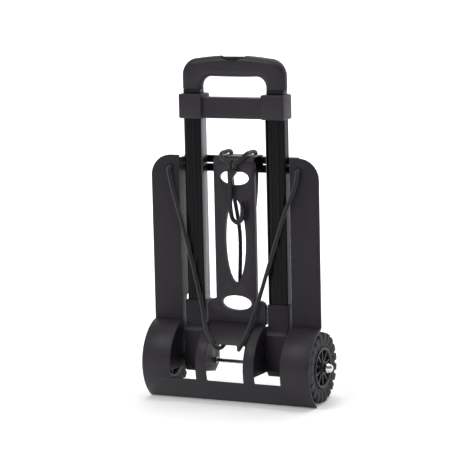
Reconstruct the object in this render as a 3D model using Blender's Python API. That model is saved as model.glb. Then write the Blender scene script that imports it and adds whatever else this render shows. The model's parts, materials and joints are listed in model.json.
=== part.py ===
"""Folding platform cart, folded flat and standing on its wheels. Metres, +Z up, user's side at -Y."""
import math

import bmesh
import bpy
from mathutils import Vector

# ---- driving dimensions ----
GAP = 0.0003
WHEEL_R = 0.052
AXLE_Z = WHEEL_R
WHEEL_W = 0.022
WHEEL_IN = 0.1085
HUB_R = 0.011
RIM_R = 0.0305
LUGS = 20
AXLE_R = 0.003
AXLE_HALF = 0.140
NUT_R = 0.0075

PANEL_HALF = 0.1328
PANEL_TOP = 0.357
GUARD_R = WHEEL_R + 0.0105
CREASE_Z = AXLE_Z + GUARD_R - 0.0025
PANEL_FRONT = -0.015
SHEET = 0.0025
WING_IN = 0.0877
WING_CORNER = 0.031
FLANGE_Y = 0.0075
STRIP_HALF = 0.0320
STRIP_DEEP = 0.008
FOOT_HALF = 0.0462
GUARD_LOW = 0.0002
SLOT_Z = AXLE_Z - 0.0175
WINDOW_HALF = 0.0295
WINDOW_Z = (AXLE_Z - 0.018, AXLE_Z + 0.56 * GUARD_R)

MAST_X = 0.0660
TUBE_W = 0.028
TUBE_D = 0.019
TUBE_Y = -0.0045
WALL = 0.0013
TUBE_FOOT = AXLE_Z + 0.018
TUBE_TOP = 0.4475
STAGE = 0.0005
BAR_Z = (TUBE_TOP - 0.0365, TUBE_TOP - 0.0005)
BLOCK_W = TUBE_W + 0.008
BLOCK_Y = (-0.0215, 0.0100)
COLLAR_H = 0.0026
HANDLE_HALF = 0.0818
HANDLE_TOP = TUBE_TOP + 0.055
HANDLE_CROWN = 0.004
HANDLE_GRIP = 0.031
HANDLE_LEG = 0.0310
HANDLE_D = 0.020

RAIL_Y = (0.0082, 0.0172)
RAIL_HALF = 0.090
RAIL_UP = (PANEL_TOP - 0.0125, PANEL_TOP - 0.0020)
RAIL_LOW = (PANEL_TOP - 0.0255, PANEL_TOP - 0.0145)
STRIP_TOP = PANEL_TOP - 0.0085
EYELET = (0.102, PANEL_TOP - 0.018)
CORD_R = 0.0030
HOOK_X = 0.0010
HOOK_Z = PANEL_TOP - 0.017

AXLE_Y = (GUARD_R - WHEEL_R) / 2
ARM_X0 = WING_IN + SHEET + GAP
ARM_X1 = ARM_X0 + 0.003

OBJECT = "folding_platform_cart"
parts = None
cutters = None


def clear_scene():
    for obj in list(bpy.data.objects):
        bpy.data.objects.remove(obj, do_unlink=True)


def make_collection(name):
    coll = bpy.data.collections.new(name)
    bpy.context.scene.collection.children.link(coll)
    return coll


def material(name, colour, rough, metal=0.0):
    mat = bpy.data.materials.new(name)
    mat.use_nodes = True
    shader = mat.node_tree.nodes["Principled BSDF"]
    shader.inputs["Base Color"].default_value = (*colour, 1.0)
    shader.inputs["Roughness"].default_value = rough
    shader.inputs["Metallic"].default_value = metal
    return mat


PAINT = (
    ("black_plastic", (0.040, 0.036, 0.042), 0.45, 0.0),
    ("deck_plastic", (0.038, 0.034, 0.040), 0.55, 0.0),
    ("black_tube", (0.018, 0.014, 0.020), 0.25, 0.6),
    ("grey_aluminium", (0.14, 0.13, 0.14), 0.35, 1.0),
    ("steel", (0.45, 0.44, 0.45), 0.25, 1.0),
    ("chrome", (0.60, 0.59, 0.60), 0.10, 1.0),
    ("tyre_rubber", (0.020, 0.019, 0.021), 0.75, 0.0),
    ("cord_fabric", (0.020, 0.018, 0.020), 0.85, 0.0),
)


def add_object(name, bm, mat):
    """Turn a bmesh into one closed named object that faces outward."""
    bmesh.ops.remove_doubles(bm, verts=bm.verts, dist=0.00001)
    bmesh.ops.recalc_face_normals(bm, faces=bm.faces)
    mesh = bpy.data.meshes.new(name)
    bm.to_mesh(mesh)
    bm.free()
    obj = bpy.data.objects.new(name, mesh)
    parts.objects.link(obj)
    own = bpy.data.materials.get(mat).copy()
    own.name = mat + "_" + name
    mesh.materials.append(own)
    return obj


def rounded_rect(u0, v0, u1, v1, radii, steps=4):
    """Outline of a rectangle; radii run lower left, lower right, upper right, upper left."""
    corners = ((u0, v0, 180), (u1, v0, 270), (u1, v1, 0), (u0, v1, 90))
    pts = []
    for (cu, cv, start), r in zip(corners, radii):
        if r <= 0:
            pts.append((cu, cv))
            continue
        mu = cu + r if cu == u0 else cu - r
        mv = cv + r if cv == v0 else cv - r
        for k in range(steps + 1):
            a = math.radians(start + 90 * k / steps)
            pts.append((mu + r * math.cos(a), mv + r * math.sin(a)))
    return pts


def ellipse(cu, cv, ru, rv, steps=28):
    return [(cu + ru * math.cos(2 * math.pi * k / steps),
             cv + rv * math.sin(2 * math.pi * k / steps)) for k in range(steps)]


def place(axis, u, v, w):
    """Point at height w along the axis; u, v are the other two world directions in order."""
    return {"x": (w, u, v), "y": (u, w, v), "z": (u, v, w)}[axis]


def prism_mesh(outline, axis, lo, hi, holes=()):
    bm = bmesh.new()
    edges = []
    for loop in (outline, *holes):
        verts = [bm.verts.new(place(axis, u, v, lo)) for u, v in loop]
        edges += [bm.edges.new((verts[k - 1], verts[k])) for k in range(len(verts))]
    if holes:
        bmesh.ops.triangle_fill(bm, edges=edges, use_beauty=True)
    else:
        bmesh.ops.contextual_create(bm, geom=edges)
    out = bmesh.ops.extrude_face_region(bm, geom=list(bm.faces))
    tops = [g for g in out["geom"] if isinstance(g, bmesh.types.BMVert)]
    shift = place(axis, 0.0, 0.0, hi - lo)
    bmesh.ops.translate(bm, verts=tops, vec=shift)
    return bm


def prism(name, outline, axis, lo, hi, mat, holes=()):
    return add_object(name, prism_mesh(outline, axis, lo, hi, holes), mat)


def block(name, lo, hi, mat, bevel=0.0, steps=2):
    bm = bmesh.new()
    bmesh.ops.create_cube(bm, size=1.0)
    for v in bm.verts:
        v.co = [(lo[k] + hi[k]) / 2 + v.co[k] * (hi[k] - lo[k]) for k in range(3)]
    if bevel:
        bmesh.ops.bevel(bm, geom=list(bm.edges), offset=bevel, segments=steps,
                        profile=0.5, affect="EDGES")
    return add_object(name, bm, mat)


def turned_mesh(profile, steps, centre, axis="x"):
    """Solid of revolution; profile is a closed loop of (along, radius)."""
    bm = bmesh.new()
    rings = []
    for k in range(steps):
        a = 2 * math.pi * k / steps
        ring = []
        for along, r in profile:
            u, v = r * math.cos(a), r * math.sin(a)
            p = place(axis, u, v, along)
            ring.append(bm.verts.new([p[i] + centre[i] for i in range(3)]))
        rings.append(ring)
    for k in range(steps):
        a, b = rings[k - 1], rings[k]
        for i in range(len(profile)):
            bm.faces.new((a[i - 1], a[i], b[i], b[i - 1]))
    bmesh.ops.remove_doubles(bm, verts=bm.verts, dist=0.000001)
    bmesh.ops.dissolve_degenerate(bm, edges=bm.edges, dist=0.000001)
    return bm


def turned(name, profile, steps, centre, mat, axis="x"):
    return add_object(name, turned_mesh(profile, steps, centre, axis), mat)


def add_cutter(name, bm):
    bmesh.ops.recalc_face_normals(bm, faces=bm.faces)
    mesh = bpy.data.meshes.new(name)
    bm.to_mesh(mesh)
    bm.free()
    obj = bpy.data.objects.new(name, mesh)
    cutters.objects.link(obj)
    obj.display_type = "WIRE"
    obj.hide_render = True
    return obj


def combine(obj, tool, operation="DIFFERENCE"):
    mod = obj.modifiers.new(tool.name, "BOOLEAN")
    mod.object = tool
    mod.operation = operation
    mod.solver = "EXACT"


def tube_outline(width, depth, x, y, r):
    return rounded_rect(x - width / 2, y - depth / 2, x + width / 2, y + depth / 2, (r,) * 4, 3)


def square_tube(name, x, width, depth, wall, z0, z1, mat, r=0.002):
    y = AXLE_Y + TUBE_Y
    inner = tube_outline(width - 2 * wall, depth - 2 * wall, x, y, max(r - wall, 0.0004))
    return prism(name, tube_outline(width, depth, x, y, r), "z", z0, z1, mat, [inner])


def sweep(name, points, radius, mat):
    """Round cord along a smooth open path, closed at both ends."""
    curve = bpy.data.curves.new(name, "CURVE")
    curve.dimensions = "3D"
    curve.bevel_depth = radius
    curve.bevel_resolution = 2
    curve.use_fill_caps = True
    spline = curve.splines.new("POLY")
    spline.points.add(len(points) - 1)
    for point, co in zip(spline.points, points):
        point.co = (*co, 1.0)
    temp = bpy.data.objects.new(name + "_path", curve)
    parts.objects.link(temp)
    bpy.context.view_layer.update()
    solved = temp.evaluated_get(bpy.context.evaluated_depsgraph_get())
    mesh = bpy.data.meshes.new_from_object(solved)
    bpy.data.objects.remove(temp, do_unlink=True)
    bm = bmesh.new()
    bm.from_mesh(mesh)
    bpy.data.meshes.remove(mesh)
    bmesh.ops.triangulate(bm, faces=bm.faces)
    return add_object(name, bm, mat)


def smooth_path(points, steps=5):
    """Smooth curve through the points; each tangent is weighted by the spacing either side."""
    pts = [Vector(p) for p in points]
    gaps = [(b - a).length for a, b in zip(pts, pts[1:])]
    ways = [(b - a) / g for a, b, g in zip(pts, pts[1:], gaps)]
    tangents = [ways[0]]
    for k in range(1, len(ways)):
        tangents.append((ways[k - 1] * gaps[k] + ways[k] * gaps[k - 1]) / (gaps[k - 1] + gaps[k]))
    tangents.append(ways[-1])
    out = []
    for k, gap in enumerate(gaps):
        for n in range(steps):
            t = n / steps
            out.append((2 * t ** 3 - 3 * t ** 2 + 1) * pts[k] + (3 * t ** 2 - 2 * t ** 3) * pts[k + 1]
                       + gap * ((t ** 3 - 2 * t ** 2 + t) * tangents[k]
                                + (t ** 3 - t ** 2) * tangents[k + 1]))
    out.append(pts[-1])
    return out


# ---- wheels and axle ----
def make_axle():
    c = (0.0, AXLE_Y, AXLE_Z)
    turned("axle", [(-AXLE_HALF, 0), (-AXLE_HALF, AXLE_R), (AXLE_HALF, AXLE_R), (AXLE_HALF, 0)],
           16, c, "steel")


def make_wheel(side, s):
    c = (0.0, AXLE_Y, AXLE_Z)
    x0, x1 = WHEEL_IN, WHEEL_IN + WHEEL_W
    bore = AXLE_R + GAP
    bush = AXLE_R + 0.0025
    turned("wheel_bush_" + side,
           [(s * (x0 - 0.001), bore), (s * (x1 + 0.001), bore),
            (s * (x1 + 0.001), bush), (s * (x0 - 0.001), bush)], 20, c, "steel")
    rim_in = RIM_R - 0.006
    hub = [(s * x0, bush + GAP), (s * x1, bush + GAP), (s * x1, HUB_R),
           (s * (x1 - 0.005), HUB_R + 0.001), (s * (x1 - 0.007), rim_in), (s * (x1 - 0.001), rim_in + 0.002),
           (s * (x1 - 0.001), RIM_R), (s * (x0 + 0.001), RIM_R), (s * (x0 + 0.001), rim_in + 0.002),
           (s * (x0 + 0.007), rim_in), (s * (x0 + 0.005), HUB_R + 0.001), (s * x0, HUB_R)]
    rim = turned("wheel_rim_" + side, hub, 40, c, "black_plastic")
    windows = bmesh.new()
    for k in range(8):
        mid = math.radians(45 * k + 22.5)
        loop = []
        for r, half in ((HUB_R + 0.003, 0.21), (rim_in - 0.002, 0.30)):
            for f in (-1, 0, 1):
                a = mid + f * half * (1 if r < 0.02 else -1)
                loop.append((AXLE_Y + r * math.cos(a), AXLE_Z + r * math.sin(a)))
        part = prism_mesh(loop, "x", min(s * x0, s * x1) - 0.002, max(s * x0, s * x1) + 0.002)
        mesh = bpy.data.meshes.new("window")
        bmesh.ops.recalc_face_normals(part, faces=part.faces)
        part.to_mesh(mesh)
        part.free()
        windows.from_mesh(mesh)
        bpy.data.meshes.remove(mesh)
    combine(rim, add_cutter("rim_windows_" + side, windows))
    bm = bmesh.new()
    rings = []
    base = RIM_R + GAP
    for k in range(LUGS * 4):
        a = 2 * math.pi * k / (LUGS * 4)
        top = WHEEL_R if k % 4 in (0, 1) else WHEEL_R - 0.003
        side_r = WHEEL_R - 0.006
        prof = [(x0 + 0.0015, base), (x0, base + 0.004), (x0, side_r), (x0 + 0.003, top),
                (x1 - 0.003, top), (x1, side_r), (x1, base + 0.004), (x1 - 0.0015, base)]
        rings.append([bm.verts.new((s * x, c[1] + r * math.sin(a), c[2] - r * math.cos(a)))
                      for x, r in prof])
    for k in range(len(rings)):
        a, b = rings[k - 1], rings[k]
        for i in range(8):
            bm.faces.new((a[i - 1], a[i], b[i], b[i - 1]))
    add_object("tyre_" + side, bm, "tyre_rubber")
    n0 = x1 + 0.001 + GAP
    depth = AXLE_HALF + GAP
    turned("axle_nut_" + side,
           [(s * n0, bore), (s * depth, bore), (s * depth, 0), (s * (depth + 0.004), 0),
            (s * (depth + 0.0035), 0.002), (s * (depth + 0.0015), 0.0045),
            (s * (depth - 0.002), 0.0065), (s * (n0 + 0.0015), NUT_R), (s * n0, NUT_R)],
           24, c, "chrome")
    inner = ARM_X1 + 0.002 + GAP
    turned("axle_spacer_" + side,
           [(s * inner, bore), (s * (x0 - 0.001 - GAP), bore),
            (s * (x0 - 0.001 - GAP), bore + 0.0022), (s * inner, bore + 0.0022)], 20, c, "black_plastic")


# ---- feet and masts ----
def make_foot(side, s):
    y = AXLE_Y
    side_view = ((-0.0160, 0.091), (-0.0160, 0.0555), (-0.020, 0.053), (-0.024, 0.047),
                 (-0.024, -0.005), (-0.018, -0.014), (0.014, -0.020), (0.030, -0.008),
                 (0.030, 0.044), (0.011, 0.058), (0.011, 0.091))
    profile = [(y + v, AXLE_Z + w) for v, w in side_view]
    x0 = s * (MAST_X - 0.016)
    x1 = s * (MAST_X + 0.016)
    foot = prism("foot_bracket_" + side, profile, "x", min(x0, x1), max(x0, x1), "black_plastic",
                 [[(AXLE_Y + (AXLE_R + GAP) * math.cos(math.pi * k / 8),
                    AXLE_Z + (AXLE_R + GAP) * math.sin(math.pi * k / 8)) for k in range(16)]])
    hole = tube_outline(TUBE_W + 2 * GAP, TUBE_D + 2 * GAP, s * MAST_X, AXLE_Y + TUBE_Y, 0.002)
    combine(foot, add_cutter("foot_socket_" + side, prism_mesh(hole, "z", TUBE_FOOT - GAP, AXLE_Z + 0.098)))
    x0, x1 = sorted((s * (MAST_X - 0.013), s * (MAST_X + 0.013)))
    pocket = rounded_rect(x0, AXLE_Z - 0.004, x1, AXLE_Z + 0.042, (0.003,) * 4, 2)
    combine(foot, add_cutter("foot_pocket_" + side, prism_mesh(pocket, "y", y + 0.0135, y + 0.050)))


def make_mast(side, s):
    x = s * MAST_X
    square_tube("mast_outer_" + side, x, TUBE_W, TUBE_D, WALL, TUBE_FOOT, TUBE_TOP, "black_tube")
    w1, d1 = TUBE_W - 2 * WALL - 2 * STAGE, TUBE_D - 2 * WALL - 2 * STAGE
    w2, d2 = w1 - 2 * WALL - 2 * STAGE, d1 - 2 * WALL - 2 * STAGE
    low = TUBE_TOP + GAP
    square_tube("mast_middle_" + side, x, w1, d1, WALL, TUBE_FOOT + 0.004, low + COLLAR_H, "black_tube")
    square_tube("mast_inner_" + side, x, w2, d2, WALL, TUBE_FOOT + 0.008,
                HANDLE_TOP - HANDLE_GRIP, "black_tube")
    y = AXLE_Y + TUBE_Y
    for name, wide, deep, z in (("middle_collar_", w1, d1, low),
                                ("inner_collar_", w2, d2, low + COLLAR_H + GAP)):
        hole = tube_outline(wide + 2 * GAP, deep + 2 * GAP, x, y, 0.001)
        prism(name + side, tube_outline(TUBE_W - 0.001, TUBE_D - 0.001, x, y, 0.003), "z", z, z + COLLAR_H,
              "black_plastic", [hole])
    xin = s * (MAST_X - TUBE_W / 2 - GAP)
    xo = xin - s * 0.001
    holes = [[(AXLE_Y - 0.0045 + 0.0012 * math.cos(math.pi * k / 6), z + 0.0012 * math.sin(math.pi * k / 6))
              for k in range(12)] for z in (AXLE_Z + 0.1015, AXLE_Z + 0.1080)]
    prism("mast_strip_" + side,
          rounded_rect(y - 0.0085, AXLE_Z + 0.0915, y + 0.0085, BAR_Z[0] - GAP, (0.0005,) * 4, 1), "x",
          min(xin, xo), max(xin, xo), "grey_aluminium", holes)


def make_crossbar():
    y0, y1 = AXLE_Y + BLOCK_Y[0], AXLE_Y + BLOCK_Y[1]
    bar = block("mast_crossbar", (-0.049, y0 + 0.006, BAR_Z[0] + 0.0006),
                (0.049, y1 - 0.006, BAR_Z[1] - 0.0052), "black_plastic", 0.0015)
    for side, s in SIDES:
        x0 = s * 0.0470
        x1 = x0 + s * BLOCK_W
        bm = bmesh.new()
        bmesh.ops.create_cube(bm, size=1.0)
        lo = (min(x0, x1), y0, BAR_Z[0])
        hi = (max(x0, x1), y1, BAR_Z[1])
        for v in bm.verts:
            v.co = [(lo[k] + hi[k]) / 2 + v.co[k] * (hi[k] - lo[k]) for k in range(3)]
        bmesh.ops.bevel(bm, geom=list(bm.edges), offset=0.0025, segments=3, profile=0.5, affect="EDGES")
        combine(bar, add_cutter("crossbar_block_" + side, bm), "UNION")
        hole = tube_outline(TUBE_W + 2 * GAP, TUBE_D + 2 * GAP, s * MAST_X, AXLE_Y + TUBE_Y, 0.0022)
        bore = prism_mesh(hole, "z", BAR_Z[0] - 0.011, BAR_Z[1] + 0.013)
        combine(bar, add_cutter("crossbar_bore_" + side, bore))


def make_handle():
    y = AXLE_Y + TUBE_Y
    y0, y1 = y - HANDLE_D / 2, y + HANDLE_D / 2
    bottom = TUBE_TOP + 2 * COLLAR_H + 3 * GAP
    inner = HANDLE_HALF - HANDLE_LEG
    under = HANDLE_TOP - HANDLE_GRIP
    r = 0.024
    ri = 0.014
    shoulder = HANDLE_TOP - HANDLE_CROWN
    right = [(inner, bottom)]
    right += [(inner - ri * (1 - math.cos(a)), under - ri * (1 - math.sin(a)))
              for a in [math.radians(90 * k / 6) for k in range(7)]]
    right = right[::-1]
    top = [(HANDLE_HALF - r + r * math.cos(a), shoulder - r + r * math.sin(a))
           for a in [math.radians(90 * k / 8) for k in range(9)]]
    crown = [(u, HANDLE_TOP - HANDLE_CROWN * (u / (HANDLE_HALF - r)) ** 2) for u in (0.040, 0.0235)]
    half = right + [(HANDLE_HALF, bottom)] + top + crown
    outline = half + [(-u, v) for u, v in reversed(half)]
    bm = prism_mesh(outline, "y", y0, y1)
    bmesh.ops.recalc_face_normals(bm, faces=bm.faces)
    rim = [e for e in bm.edges if len(e.link_faces) == 2
           and e.calc_face_angle(0) > 1.2 and abs(e.verts[0].co.y - e.verts[1].co.y) < 1e-6]
    bmesh.ops.bevel(bm, geom=rim, offset=0.006, segments=4, profile=0.5, affect="EDGES")
    grip = add_object("handle_grip", bm, "black_plastic")
    w2 = TUBE_W - 4 * WALL - 4 * STAGE
    d2 = TUBE_D - 4 * WALL - 4 * STAGE
    for side, s in SIDES:
        hole = tube_outline(w2 + 2 * GAP, d2 + 2 * GAP, s * MAST_X, y, 0.001)
        combine(grip, add_cutter("handle_bore_" + side,
                                 prism_mesh(hole, "z", bottom - 0.01, under + GAP)))
    pocket = rounded_rect(-0.0195, y - 0.0075, 0.0195, y + 0.0075, (0.004,) * 4, 3)
    pocket_mesh = prism_mesh(pocket, "z", HANDLE_TOP - 0.0125, HANDLE_TOP + 0.01)
    combine(grip, add_cutter("button_pocket", pocket_mesh))
    cap = rounded_rect(-0.0185, y - 0.0065, 0.0185, y + 0.0065, (0.0035,) * 4, 3)
    prism("handle_button", cap, "z", HANDLE_TOP - 0.0085, HANDLE_TOP - 0.0020, "black_plastic")


# ---- platform ----
def make_guard():
    low = -math.asin((AXLE_Z - GUARD_LOW) / GUARD_R)
    top = math.atan2(CREASE_Z - AXLE_Z, -PANEL_FRONT)
    steps = 24
    angles = [low + (top - low) * k / steps for k in range(steps + 1)]
    outer = [(AXLE_Y - GUARD_R * math.cos(a), AXLE_Z + GUARD_R * math.sin(a)) for a in angles]
    inner = [(AXLE_Y - (GUARD_R - SHEET) * math.cos(a), AXLE_Z + (GUARD_R - SHEET) * math.sin(a))
             for a in angles]
    guard = prism("wheel_guard", outer + inner[::-1], "x", -PANEL_HALF, PANEL_HALF, "deck_plastic")
    for side, s in SIDES:
        x0, x1 = sorted((s * FOOT_HALF, s * WING_IN))
        slot = rounded_rect(x0, SLOT_Z, x1, CREASE_Z + 0.018, (0.0015, 0.0015, 0, 0), 2)
        combine(guard, add_cutter("guard_slot_" + side, prism_mesh(slot, "y", -0.08, AXLE_Y + 0.01)))
    hole = rounded_rect(-WINDOW_HALF, WINDOW_Z[0], WINDOW_HALF, WINDOW_Z[1], (0.0015,) * 4, 2)
    combine(guard, add_cutter("guard_window", prism_mesh(hole, "y", -0.08, AXLE_Y - 0.01)))


def make_wing(side, s):
    y = AXLE_Y + PANEL_FRONT
    r = WING_CORNER
    z0 = CREASE_Z + GAP
    outline = [(s * WING_IN, z0), (s * PANEL_HALF, z0)]
    outline += [(s * (PANEL_HALF - r + r * math.cos(a)), PANEL_TOP - r + r * math.sin(a))
                for a in [math.radians(90 * k / 8) for k in range(9)]]
    outline.append((s * WING_IN, PANEL_TOP))
    hole = ellipse(s * EYELET[0], EYELET[1], CORD_R + 0.0018, CORD_R + 0.0018, 16)
    wing = prism("wing_" + side, outline, "y", y, y + SHEET, "deck_plastic", [hole])
    x0, x1 = sorted((s * WING_IN, s * (WING_IN + SHEET)))
    lip = rounded_rect(y + 0.001, CREASE_Z + 0.035, AXLE_Y + FLANGE_Y, PANEL_TOP - 0.004,
                       (0, 0.006, 0.004, 0), 3)
    combine(wing, add_cutter("wing_flange_" + side, prism_mesh(lip, "x", x0, x1)), "UNION")
    e = (s * EYELET[0], y, EYELET[1])
    bore, neck, brim = CORD_R + 0.0006, CORD_R + 0.0014, CORD_R + 0.0032
    turned("eyelet_" + side,
           [(-0.0006, bore), (-0.0006, brim), (-GAP, brim), (-GAP, neck), (SHEET + GAP, neck),
            (SHEET + GAP, brim), (SHEET + 0.0006, brim), (SHEET + 0.0006, bore)],
           20, e, "black_plastic", "y")


OVALS = ((PANEL_TOP - 0.031, 0.0240, 0.0110),
         ((CREASE_Z + PANEL_TOP) / 2 - 0.0005, 0.0170, 0.253 * (PANEL_TOP - CREASE_Z)),
         (CREASE_Z + 0.0305, 0.0240, 0.0110))


def make_strip():
    y = AXLE_Y + PANEL_FRONT
    z0 = CREASE_Z + GAP
    flare = CREASE_Z + 0.035
    r = 0.010

    def outline(inset):
        a, b = STRIP_HALF - inset, FOOT_HALF - inset
        half = [(b, z0 + inset)]
        half += [(b - r + r * math.cos(t), flare - inset - r + r * math.sin(t))
                 for t in [math.radians(90 * k / 5) for k in range(6)]]
        half += [(a, flare - inset + 0.002), (a, STRIP_TOP - inset)]
        return half + [(-u, v) for u, v in reversed(half)]

    bm = bmesh.new()

    def ring(points, depth):
        return [bm.verts.new((u, y + depth, v)) for u, v in points]

    def wall(one, two):
        for k in range(len(one)):
            bm.faces.new((one[k - 1], one[k], two[k], two[k - 1]))

    def fill(*rings):
        edges = []
        for r in rings:
            pairs = [(r[k - 1], r[k]) for k in range(len(r))]
            edges += [bm.edges.get(p) or bm.edges.new(p) for p in pairs]
        bmesh.ops.triangle_fill(bm, edges=edges, use_beauty=True)

    edge = [ring(outline(0.0), 0.0), ring(outline(0.0), STRIP_DEEP),
            ring(outline(0.002), STRIP_DEEP), ring(outline(0.002), SHEET)]
    for one, two in ((0, 1), (2, 3)):
        wall(edge[one], edge[two])
    ovals = []
    for z, ru, rv in OVALS:
        cut, rim = ellipse(0.0, z, ru, rv), ellipse(0.0, z, ru + 0.002, rv + 0.002)
        oval = [ring(cut, 0.0), ring(cut, STRIP_DEEP), ring(rim, STRIP_DEEP), ring(rim, SHEET)]
        wall(oval[0], oval[1])
        wall(oval[2], oval[3])
        fill(oval[1], oval[2])
        ovals.append(oval)
    fill(edge[1], edge[2])
    fill(edge[0], *[oval[0] for oval in ovals])
    fill(edge[3], *[oval[3] for oval in ovals])
    add_object("centre_strip", bm, "deck_plastic")


def make_strip_hood():
    """Curled cap that carries the strip back over the two rails."""
    y = AXLE_Y + PANEL_FRONT
    z = STRIP_TOP + GAP
    r = RAIL_UP[1] + GAP + 0.002 - z
    back = AXLE_Y + RAIL_Y[1] + GAP + 0.002
    low = RAIL_LOW[1] - 0.006
    outer = [(y + r - r * math.cos(t), z + r * math.sin(t))
             for t in [math.radians(90 * k / 6) for k in range(7)]]
    top = outer[-1][1]
    outer += [(back - 0.003, top), (back - 0.0009, top - 0.0009), (back, top - 0.003), (back, low)]
    inner = [(back - 0.002, low), (back - 0.002, top - 0.002)]
    inner += [(y + r - (r - 0.002) * math.cos(t), z + (r - 0.002) * math.sin(t))
              for t in [math.radians(90 * k / 6) for k in range(6, -1, -1)]]
    prism("strip_hood", outer + inner, "x", -STRIP_HALF, STRIP_HALF, "deck_plastic")


def make_rails():
    y0, y1 = AXLE_Y + RAIL_Y[0], AXLE_Y + RAIL_Y[1]
    for name, (z0, z1) in (("platform_rail_upper", RAIL_UP), ("platform_rail_lower", RAIL_LOW)):
        prism(name, rounded_rect(y0, z0, y1, z1, (0.0015,) * 4, 2), "x", -RAIL_HALF, RAIL_HALF,
              "black_tube")


def make_arm(side, s):
    """Webs either side of a foot that carry the platform on the axle."""
    y = AXLE_Y
    hole = [(y + 0.0048 * math.cos(math.pi * k / 10), AXLE_Z + 0.0048 * math.sin(math.pi * k / 10))
            for k in range(20)]
    boss = [(y + 0.011 * math.cos(math.radians(t)), AXLE_Z + 0.011 * math.sin(math.radians(t)))
            for t in range(240, 361, 20)]
    reach = GUARD_R - SHEET - GAP
    rim = [(y - reach * math.cos(math.radians(t)), AXLE_Z + reach * math.sin(math.radians(t)))
           for t in range(72, -9, -8)]
    fore = y + PANEL_FRONT + SHEET + GAP
    z = AXLE_Z
    tall = [(y + 0.014, z + 0.018), (y + 0.014, z + 0.063), (y + 0.0068, z + 0.076),
            (y + 0.0068, z + 0.163), (fore, z + 0.163), (fore, CREASE_Z - 0.002)]
    short = [(y + 0.014, z + 0.018), (y + 0.014, z + 0.056), (fore, CREASE_Z - 0.003)]
    x0, x1 = sorted((s * ARM_X0, s * ARM_X1))
    prism("hinge_arm_" + side, boss + tall + rim, "x", x0, x1, "black_tube", [hole])
    x0, x1 = sorted((s * (FOOT_HALF - GAP), s * (FOOT_HALF - 0.0032)))
    prism("hinge_web_" + side, boss + short + rim, "x", x0, x1, "black_tube", [hole])
    bore = AXLE_R + GAP
    inner = MAST_X + 0.016 + GAP
    turned("hinge_bush_" + side,
           [(s * inner, bore), (s * (ARM_X1 + 0.002), bore), (s * (ARM_X1 + 0.002), 0.0045),
            (s * inner, 0.0045)], 20, (0.0, AXLE_Y, AXLE_Z), "steel")
    inner = FOOT_HALF - 0.0062
    outer = MAST_X - 0.016 - GAP
    turned("web_bush_" + side,
           [(s * inner, bore), (s * outer, bore), (s * outer, 0.0045), (s * inner, 0.0045)],
           20, (0.0, AXLE_Y, AXLE_Z), "steel")


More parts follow.
